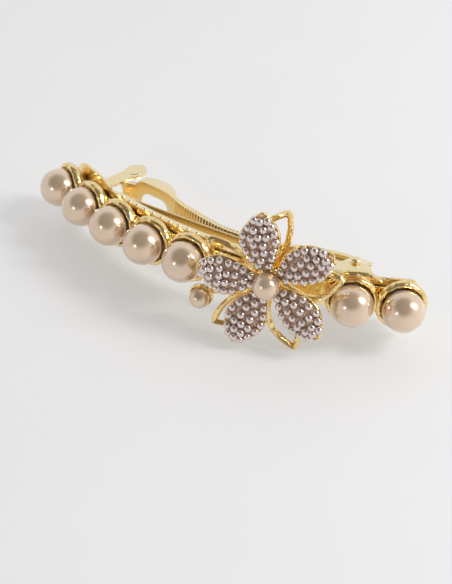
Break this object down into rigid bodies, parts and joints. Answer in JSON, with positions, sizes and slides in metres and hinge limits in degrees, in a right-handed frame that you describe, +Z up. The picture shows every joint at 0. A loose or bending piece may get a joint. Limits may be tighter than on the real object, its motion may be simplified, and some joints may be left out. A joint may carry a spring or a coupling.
{
  "type": "barrette",
  "caption": "Arched spring-clip barrette with a row of champagne pearls in gold cups and a beaded open-work flower; hinged clasp arm, bow spring and two-strap catch.",
  "frame": {"origin": "on the ground, under the middle of the clip's box", "axes": "+X along the clip from the catch end to the hinge end; +Z up, with the clip leaning back 16 degrees on its lower long edge, so the pearls face -Y and a little up"},
  "size_m": [0.0832, 0.0298, 0.0277],
  "materials": {
    "gold_plate": "bright pale gold plating on pressed sheet, fine brushing",
    "gold_spring": "pale gold plating on spring strip",
    "cast_gold": "pale gold plated casting with hammered facets",
    "pearl": "champagne pearl lacquer, glossy",
    "beads": "silvery mauve seed beads in brown glue"
  },
  "bodies": {
    "clip": {"base_plate": "gold_plate", "hinge_pin": "gold_plate", "catch_seat": "gold_spring", "catch_rivet": "gold_plate", "row_frame": "cast_gold", "pearl_1": "pearl", "pearl_2": "pearl", "pearl_3": "pearl", "pearl_4": "pearl", "pearl_5": "pearl", "pearl_6": "pearl", "pearl_7": "pearl", "flower_post": "cast_gold", "flower_openwork": "cast_gold", "flower_petals": "cast_gold", "bead_bed_1": "beads", "bead_bed_2": "beads", "bead_bed_3": "beads", "bead_bed_4": "beads", "bead_bed_5": "beads", "centre_pearl": "pearl", "side_pearl": "pearl"},
    "arm": {"clasp_arm": "gold_plate"},
    "bow": {"bow_spring": "gold_spring"},
    "upper_ear": {"catch_ear_upper": "gold_spring"},
    "lower_ear": {"catch_ear_lower": "gold_spring"}
  },
  "joints": [
    {"name": "arm_hinge", "type": "hinge", "parent": "clip", "child": "arm", "pos_m": [0.0255, 0.00623, 0.00725], "axis": [0, -0.2756, -0.9613], "range_deg": [0, 80]},
    {"name": "bow_hinge", "type": "hinge", "parent": "clip", "child": "bow", "pos_m": [0.0226, 0.00203, 0.00845], "axis": [0, -0.2756, -0.9613], "range_deg": [0, 2.5], "stiffness_Nm_per_rad": 0.05},
    {"name": "upper_ear_bend", "type": "hinge", "parent": "clip", "child": "upper_ear", "pos_m": [-0.02987, 0.00481, 0.00937], "axis": [-0.8917, 0.435, -0.1247], "range_deg": [-6, 3.5], "stiffness_Nm_per_rad": 0.05},
    {"name": "lower_ear_bend", "type": "hinge", "parent": "clip", "child": "lower_ear", "pos_m": [-0.02987, 0.0039, 0.0062], "axis": [0.8917, -0.435, 0.1247], "range_deg": [-6, 3.5], "stiffness_Nm_per_rad": 0.05}
  ]
}
